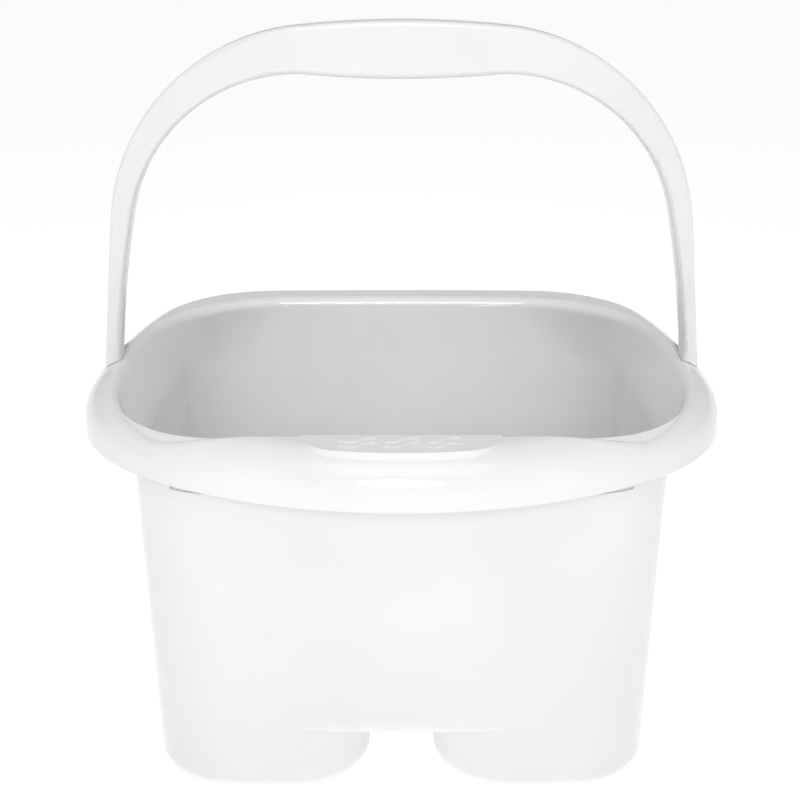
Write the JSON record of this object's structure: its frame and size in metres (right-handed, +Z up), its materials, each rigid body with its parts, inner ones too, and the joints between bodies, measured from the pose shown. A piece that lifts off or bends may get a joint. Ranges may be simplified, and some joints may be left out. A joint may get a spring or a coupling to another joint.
{
  "type": "pedicure foot bath",
  "caption": "Moulded white foot bath with a separate well for each foot, a rolled rim, an open tunnel underneath and an arched carrying handle that folds back onto the rim.",
  "frame": {"origin": "on the floor, under the middle of the rim's bounding rectangle", "axes": "+Z up, +X to the right as seen from the front, the bowed front of the rim faces -Y"},
  "size_m": [0.42, 0.38, 0.4753],
  "materials": {
    "tub_plastic": "glossy white moulded plastic",
    "handle_plastic": "glossy white moulded plastic",
    "plate_plastic": "glossy white moulded plastic",
    "cup_plastic": "satin white moulded plastic",
    "pin_steel": "plain ground stainless steel",
    "pad_rubber": "soft pale grey rubber"
  },
  "bodies": {
    "tub": {"tub_shell": "tub_plastic", "rim_plate": "plate_plastic", "pivot_cup_left": "cup_plastic", "pivot_cup_right": "cup_plastic", "pivot_pin_left": "pin_steel", "pivot_pin_right": "pin_steel", "rubber_pad_1": "pad_rubber", "rubber_pad_2": "pad_rubber", "rubber_pad_3": "pad_rubber", "rubber_pad_4": "pad_rubber"},
    "handle": {"handle_bail": "handle_plastic"}
  },
  "joints": [
    {"name": "handle_fold", "type": "hinge", "parent": "tub", "child": "handle", "pos_m": [0, 0.0199, 0.2415], "axis": [-1, 0, 0], "range_deg": [0, 90]}
  ]
}
